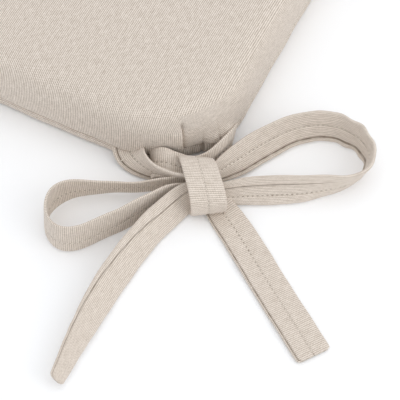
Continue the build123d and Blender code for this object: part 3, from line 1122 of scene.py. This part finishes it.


# about a third of these places are points of the CAD's routes. The others are moved or added: the roots into
# the seam, the loops' far ends further out, and the folds beside the knot
TURNED_ROUTE = (
    Stretch(((62, -8), (60, -4), (54, 1), (44, 6), (33, 8), (22, 6), (11, 2)), (0, 20, 60, 100, 110, 115)),
    Stretch(((1, -5), (-11, -25), (-22, -47), (-39, -72), (-65, -86),
             (-95, -77), (-98, -50), (-68, -27), (-35, -12)),
            (90, 45, 50, 65, 70, 80, 65, 105, 130), widths=(0.6, 0.9, 1.0, 1.0, 1.0, 1.0, 1.0, 1.0, 0.9)),
    Stretch(((-7, 6), (4, 10), (11, 32), (18, 58), (21, 93), (22, 129), (18, 178)),
            (115, 125, 125, 125, 132, 145, 130), widths=(0.6, 0.9, 1.0, 1.0, 1.0, 0.8, 0.5)),
)
WRAPPED_ROUTE = (
    Stretch(((0, -47), (-2, -44)), (0, 25), heading=-80.0),
    Stretch(((-2, -34), (1, -23), (6, -16), (12, -11)), (95, 100, 110), widths=(1.0, 0.7)),
    Stretch(((21, -6), (31, -2), (40, 1), (37, 2), (29, 0), (20, -2), (11, -7)), (25, 25, 30, 20),
            heights=(7, 8, 9, 16, 19, 16, 13), widths=(0.8, 0.8, 0.8, 0.9, 0.7), heading=-60.0),
    Wrap(),
    Stretch(((11, 2), (25, 12), (44, 24), (66, 35), (88, 51),
             (85, 77), (62, 87), (44, 64), (28, 38), (15, 12)),
            (-90, -95, -100, -95, -85, -95, -100, -95, -95, -95),
            widths=(0.7, 0.7, 0.6, 0.7, 1.0, 1.0, 1.0, 1.0, 1.0, 0.7)),
    Stretch(((-1, 4), (-16, 8), (-37, 21), (-75, 50), (-122, 84)), (-110, -170, -180, -180, -180),
            heights=(6, 2, 2, 2, 2), widths=(0.5, 0.9, 1.0, 1.0, 1.0)),
)


# ---------------------------------------------------------------- the bows
@dataclass
class Tape:
    """One length of folded cloth tape, from where it is sewn in to its free end.

    Its route is made of stretches. Stitch and fold lines are given for the tape's two faces, as
    millimetres along it and places across from -1 to 1.
    """

    name: str
    route: tuple
    length: float
    replaced: tuple
    weave: Weave
    stitch_lines: tuple = (((0, 0.0), (900, 0.0)), ((0, 0.0), (900, 0.0)))
    fold_lines: tuple = (None, None)
    crumpled: tuple = ()
    tip: float = 0.8
    width: float = 0.025
    thick: float = 0.0021
    row_step: float = 0.0016
    places_across: int = 43
    mirrored: bool = False
    pieces: list = field(default_factory=list)

    def spline(self, name: str, points: np.ndarray) -> np.ndarray:
        """Points read from a NURBS line of third order.

        Args:
            name: a name for the line while it exists.
            points: its control points.

        Returns:
            The points along it.
        """
        curve = bpy.data.curves.new(name, "CURVE")
        curve.dimensions = "3D"
        line = curve.splines.new("NURBS")
        line.points.add(len(points) - 1)
        line.points.foreach_set("co", np.c_[points, np.ones(len(points))].ravel())
        line.order_u = 3
        line.use_endpoint_u = True
        line.resolution_u = 10
        holder = bpy.data.objects.new(name, curve)
        bpy.context.scene.collection.objects.link(holder)
        bpy.context.view_layer.update()
        mesh = bpy.data.meshes.new_from_object(holder)
        places = np.empty(len(mesh.vertices) * 3)
        mesh.vertices.foreach_get("co", places)
        bpy.data.objects.remove(holder)
        bpy.data.meshes.remove(mesh)
        return places.reshape(-1, 3)

    def lines(self) -> tuple[np.ndarray, np.ndarray]:
        """The tape's middle line, and the half width from it to one edge, point by point.

        Square to the route means square to the line from the place before to the place after.

        Returns:
            The middle's points, and from each the way to the edge.
        """
        rows = np.concatenate([stretch.rows() for stretch in self.route])
        middle = rows[:, :3] * MM + [-WIDTH / 2, WIDTH / 2, 0]
        way = np.gradient(rows[:, :2], axis=0)
        heading = np.where(np.isnan(rows[:, 5]), np.arctan2(way[:, 0], -way[:, 1]), np.radians(rows[:, 5]))
        lean = np.radians(rows[:, 3])
        flat = np.cos(lean)
        across = np.stack([np.cos(heading) * flat, np.sin(heading) * flat, np.sin(lean)], -1)
        half = across * rows[:, 4:5] * self.width / 2
        if self.mirrored:
            middle[:, 0] *= -1
            half[:, 0] *= -1
        lowest = np.abs(half[:, 2]) + self.thick / 2 + 0.2 * MM
        middle[:, 2] = np.maximum(middle[:, 2], lowest)
        centre = self.spline(self.name + "_middle", middle)
        edge = self.spline(self.name + "_edge", middle + half)
        return centre, edge - centre

    def frames(self) -> tuple[np.ndarray, np.ndarray, np.ndarray, np.ndarray]:
        """The tape's middle line as the mesh's rows need it, closer together at the free end.

        Returns:
            Middle, half width, face direction and distance walked, at each row.
        """
        centre, half = self.lines()
        walked = np.concatenate([[0], np.cumsum(np.linalg.norm(np.diff(centre, axis=0), axis=1))])
        end = walked[-1]
        tail = end - self.width * np.array([0.14, 0.12, 0.1, 0.08, 0.06, 0.045, 0.03, 0.018, 0.008, 0.0])
        place = np.concatenate([np.arange(0, end - 0.16 * self.width, self.row_step), tail])
        centre, half = (np.stack([np.interp(place, walked, v[:, k]) for k in range(3)], -1)
                        for v in (centre, half))
        tangent = np.gradient(centre, place, axis=0)
        face = np.cross(tangent, half)
        return centre, half, face / np.linalg.norm(face, axis=1)[:, None], place

    def line_at(self, line: tuple | None, walked: np.ndarray) -> np.ndarray:
        """Where a stitch or fold line lies across the tape, or far off it if there is none.

        Args:
            line: pairs of millimetres along the tape and place across it, or None.
            walked: distances along the tape.

        Returns:
            Places across, from -1 to 1 on the tape.
        """
        if line is None:
            return np.full(len(walked), 9.0)
        at, across = np.array(line).T
        return np.interp(walked, at * MM, across)

    def section(self, walked: np.ndarray) -> tuple[np.ndarray, np.ndarray, np.ndarray]:
        """The tape's section at each row.

        The edges are round, as one less a high power of the place across. A stitch line is
        pressed in as a bell, and at a fold line the cloth steps up by half a cloth's thickness.

        Args:
            walked: distances along the tape.

        Returns:
            Places across from -1 to 1, heights in half thicknesses for rows and places, and
            which face each place is on.
        """
        even = np.linspace(-1, 1, self.places_across)
        across = np.sign(even) * (1 - (1 - np.abs(even)) ** 1.15)
        plain = np.sqrt(np.clip(1 - np.abs(across) ** 16, 0, 1))
        faces = []
        for stitch, fold in zip(self.stitch_lines, self.fold_lines):
            stitch_at = self.line_at(stitch, walked)[:, None]
            fold_at = self.line_at(fold, walked)[:, None]
            rise = np.sign(fold_at) * (across[None, :] - fold_at)
            height = plain - 0.42 * bump(across[None, :], stitch_at, 0.075)
            height = height + 0.5 * np.clip(rise / 0.04, 0, 1) * (plain > 0) * (np.abs(fold_at) < 2)
            faces.append(height - 0.6 * bump(across[None, :], fold_at - np.sign(fold_at) * 0.03, 0.04))
        around = np.concatenate([across, across[-2:0:-1]])
        side = np.repeat([0, 1], [self.places_across, self.places_across - 2])
        return around, np.concatenate([faces[0], -faces[1][:, -2:0:-1]], 1), side

    def build(self) -> None:
        """Carry the section along the middle line."""
        centre, half, face, walked = self.frames()
        share = np.linalg.norm(half, axis=1) / (self.width / 2)
        around, height, side = self.section(walked)
        end = np.clip((walked[-1] - walked) / (2.4 * MM), 0, 1)
        taper = self.tip + (1 - self.tip) * np.sqrt(1 - (1 - end) ** 2)
        wave = 0.30 * MM * np.sin(walked / (9.5 * MM)) + 0.22 * MM * np.sin(walked / (4.1 * MM) + 2)
        for at, reach, size in self.crumpled:
            wave = wave + size * MM * np.sin(walked / (2.6 * MM)) * bump(walked, at * MM, reach * MM)
        ripple = wave[:, None] * (0.12 + around[None, :] ** 2)
        lift = height * self.thick / 2 * np.minimum(share * 1.3, 1)[:, None] + ripple
        grid = centre[:, None] + half[:, None] * (around[None, :] * taper[:, None])[..., None]
        grid = grid + face[:, None] * lift[..., None]
        grid[..., 2] = np.maximum(grid[..., 2], 0.15 * MM)
        rows, columns = grid.shape[:2]
        faces, corners = capped_faces(rows, columns)
        fall = 1 - np.sqrt(np.clip(1 - np.abs(around) ** 16, 0, 1))
        round_edge = np.sign(around) * fall * self.thick * 0.8
        place = np.broadcast_to((around * self.width / 2 + round_edge)[None, :], (rows, columns))
        along = np.broadcast_to(walked[:, None], (rows, columns))
        flat = [place, along] if self.weave is Weave.ALONG else [along, place]
        maps = {}
        for label, pair in (("Stitch", self.stitch_lines), ("Fold", self.fold_lines)):
            lines = np.stack([self.line_at(line, walked) for line in pair], 1)
            away = place - lines[:, side] * self.width / 2
            maps[label] = np.stack([away, along], -1).reshape(-1, 2)[corners]
        tape = mesh_piece(self.name, grid.reshape(-1, 3), faces,
                          np.stack(flat, -1).reshape(-1, 2)[corners], more_uv=maps)
        outward(tape)
        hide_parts(*self.replaced)
        stitches = self.stitches(centre, half, face, walked)
        log.info("%s: %.1f mm long", self.name, walked[-1] * 1000)
        self.pieces = [tape, stitches]

    def stitches(self, centre: np.ndarray, half: np.ndarray, face: np.ndarray,
                 walked: np.ndarray) -> bpy.types.Object:
        """Stitches of thread along both faces' lines, and a bar of them where it is sewn in.

        Args:
            centre: the tape's middle, row by row.
            half: the way from the middle to the edge.
            face: the directions that its first face looks in.
            walked: distances along the tape.

        Returns:
            The new piece.
        """
        pitch = 3.4 * MM
        every = np.arange(pitch, walked[-1] - pitch, pitch)

        def read(values: np.ndarray, place: np.ndarray) -> np.ndarray:
            """The values at places along the tape."""
            return np.stack([np.interp(place, walked, values[:, k]) for k in range(3)], -1)

        runs = []
        for sign, line in zip((1, -1), self.stitch_lines):
            start = every[np.abs(self.line_at(line, every)) < 1]
            middle, across, square = (read(v, start) for v in (centre, half, face))
            sunk = 0.27 + 0.03 * np.sin(start / (2.3 * MM))
            base = (middle + across * self.line_at(line, start)[:, None]
                    + square * sign * (self.thick * sunk)[:, None])
            ahead = read(centre, start + 0.2 * MM) - read(centre, start - 0.2 * MM)
            runs.append((base, ahead, square * sign))
        bar = np.linspace(-0.75, 0.75, 14)
        root = np.full(len(bar), 9.0 * MM)
        middle, across, square = (read(v, root) for v in (centre, half, face))
        for sign in (1, -1):
            base = middle + across * bar[:, None] + square * sign * self.thick * 0.5
            runs.append((base, across, square * sign))
        base, ahead, square = (np.concatenate(group) for group in zip(*runs))
        return stitch_run(self.name + "_stitches", base, ahead, square, pitch * 0.4, 0.33 * MM)

    def dress(self) -> None:
        """Give the tape and its stitches their finishes."""
        for piece, material, slot in zip(self.pieces, (TIE_CLOTH, THREAD), ("tie_cloth", "thread")):
            finish_piece(piece, material)


def stitch_run(name: str, base: np.ndarray, ahead: np.ndarray, square: np.ndarray, reach: float,
               gauge: float) -> bpy.types.Object:
    """Many stitches in one mesh, each a small six-sided swelling of thread.

    Args:
        name: the piece's name.
        base: the stitches' middles.
        ahead: the directions that they run in.
        square: the directions that they face.
        reach: half a stitch's length.
        gauge: the thread's radius.

    Returns:
        The new piece.
    """
    ahead = ahead / np.linalg.norm(ahead, axis=1)[:, None]
    aside = np.cross(ahead, square)
    aside /= np.linalg.norm(aside, axis=1)[:, None]
    up = np.cross(aside, ahead)
    angle = np.arange(6) * math.pi / 3
    rings = []
    for along, girth, sink in ((-1.0, 0.2, 0.8), (-0.55, 1.0, 0.0), (0.55, 1.0, 0.0), (1.0, 0.2, 0.8)):
        middle = base + ahead * along * reach - up * sink * gauge
        circle = (np.cos(angle)[None, :, None] * aside[:, None] + np.sin(angle)[None, :, None] * up[:, None])
        rings.append(middle[:, None] + circle * girth * gauge)
    points = np.stack(rings, 1).reshape(-1, 3)
    body = grid_faces(4, 6, True)
    ends = np.array([np.arange(6)[::-1], np.arange(6) + 18])
    offset = (np.arange(len(base)) * 24)[:, None, None]
    faces = [*(body[None] + offset).reshape(-1, 4).tolist(), *(ends[None] + offset).reshape(-1, 6).tolist()]
    return outward(mesh_piece(name, points, faces))


@dataclass
class Bow:
    """The two tapes sewn in at one rear corner, tied in a bow."""

    side: str
    tapes: list = field(default_factory=list)

    def build(self) -> None:
        """Make both tapes."""
        mirrored = self.side == "right"
        turned = [f"{self.side}_tie_{part}"
                  for part in ("rear_lead", "side_loop", "rear_tail", "rear_tack")]
        wrapped = [f"{self.side}_tie_{part}"
                   for part in ("side_lead", "knot", "rear_loop", "side_tail", "side_tack")]
        self.tapes = [
            Tape(f"{self.side}_turned_tape", TURNED_ROUTE, 0.52, tuple(turned), Weave.ALONG,
                 stitch_lines=(((0, 0.0), (160, 0.1), (900, 0.1)), ((0, 0.0), (210, -0.3), (330, -0.34),
                                                                    (331, 9.0), (900, 9.0))),
                 fold_lines=(((0, -0.72), (160, -0.72), (230, -0.6), (900, -0.6)),
                             ((0, 0.6), (210, 0.45), (300, 0.38), (335, 0.42), (372, 0.3), (400, 0.52),
                              (432, 0.7), (470, 0.84), (900, 0.76))),
                 crumpled=((190, 22, 0.9), (480, 9, 0.5)), tip=0.35, mirrored=mirrored),
            Tape(f"{self.side}_wrapped_tape", WRAPPED_ROUTE, 0.61, tuple(wrapped), Weave.ACROSS,
                 stitch_lines=(((0, 0.0), (230, 0.0), (330, 0.35), (390, 0.3), (450, 0.0), (900, 0.0)),) * 2,
                 fold_lines=(None, ((0, 9.0), (429, 9.0), (430, 0.9), (900, 0.9))),
                 crumpled=((78, 14, 1.1),), mirrored=mirrored),
        ]
        for tape in self.tapes:
            tape.build()

    def dress(self) -> None:
        """Give both tapes their finishes."""
        for tape in self.tapes:
            tape.dress()


# ---------------------------------------------------------------- everything together
CAD_FINISHES = {
    "zip_tape": ZIP_TAPE, "zip_top_stops": ZIP_METAL, "zip_bottom_stop": ZIP_METAL,
    "zip_slider": ZIP_METAL, "zip_pull_tab": ZIP_METAL,
}

# the camera: degrees round from the front and up from the floor, metres, and the lens
VIEW_BEARING, VIEW_HEIGHT = 206.22, 56.56
VIEW_TARGET = (-0.22575, 0.23149, 0.0)
VIEW_DISTANCE = 1.1798
VIEW_LENS = 153.0
SENSOR_WIDTH = 36.0
LAMP_TARGET = (-0.15, 0.15, 0.0)
FLOOR_REACH = 4


def dress_cad_nodes() -> None:
    """Give each CAD node that shows a finish."""
    for node in [o for o in bpy.data.objects if "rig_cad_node" in o]:
        for words, material in CAD_FINISHES.items():
            if words in node.name:
                node.data.materials.clear()
                node.data.materials.append(material)


def studio() -> None:
    """A pale floor, soft lights and the camera."""
    world = bpy.data.worlds.new("studio")
    bpy.context.scene.world = world
    world.use_nodes = True
    world.node_tree.nodes["Background"].inputs["Color"].default_value = (0.95, 0.97, 1.0, 1)
    world.node_tree.nodes["Background"].inputs["Strength"].default_value = 0.95
    bpy.context.scene.view_settings.view_transform = "Standard"
    corners = np.array([(-1, -1, 0), (1, -1, 0), (1, 1, 0), (-1, 1, 0)]) * FLOOR_REACH
    floor = mesh_piece("floor", corners, [(0, 1, 2, 3)])
    floor.data.materials.append(Plain("floor", (0.97, 0.97, 0.97), grain=3.0, contrast=0.01,
                                      relief=0.0, roughness=0.9).material())
    for name, place, size, power, tint in (
        ("overhead", (-0.3, 0.1, 1.7), 1.6, 4.0, (1.0, 0.985, 0.96)),
        ("side", (-1.8, 0.2, 1.1), 1.2, 5.5, (1.0, 0.99, 0.97)),
    ):
        lamp = bpy.data.lights.new(name, "AREA")
        lamp.size = size
        lamp.energy = power
        lamp.color = tint
        holder = bpy.data.objects.new(name, lamp)
        holder.location = place
        holder.rotation_euler = look(np.array(LAMP_TARGET) - np.array(place))
        bpy.context.scene.collection.objects.link(holder)
    bearing, height = math.radians(VIEW_BEARING), math.radians(VIEW_HEIGHT)
    back = np.array([math.sin(bearing) * math.cos(height), -math.cos(bearing) * math.cos(height),
                     math.sin(height)])
    lens = bpy.data.cameras.new("camera")
    lens.lens = VIEW_LENS
    lens.sensor_width = SENSOR_WIDTH
    camera = bpy.data.objects.new("camera", lens)
    camera.location = np.array(VIEW_TARGET) + back * VIEW_DISTANCE
    camera.rotation_euler = look(-back)
    bpy.context.scene.collection.objects.link(camera)
    bpy.context.scene.camera = camera


def look(direction: np.ndarray) -> tuple[float, float, float]:
    """The turn that makes an object's own -Z look along a direction, with +Y up."""
    x, y, z = direction / np.linalg.norm(direction)
    return (math.acos(-z), 0.0, math.atan2(-x, y))


def main() -> None:
    """Build and dress the cushion, piece by piece."""
    dress_cad_nodes()
    for part in (Cover(), Core(), Underside(), Zip(), Bow("left"), Bow("right")):
        part.build()
        part.dress()
    studio()


if __name__ == "__main__":
    main()
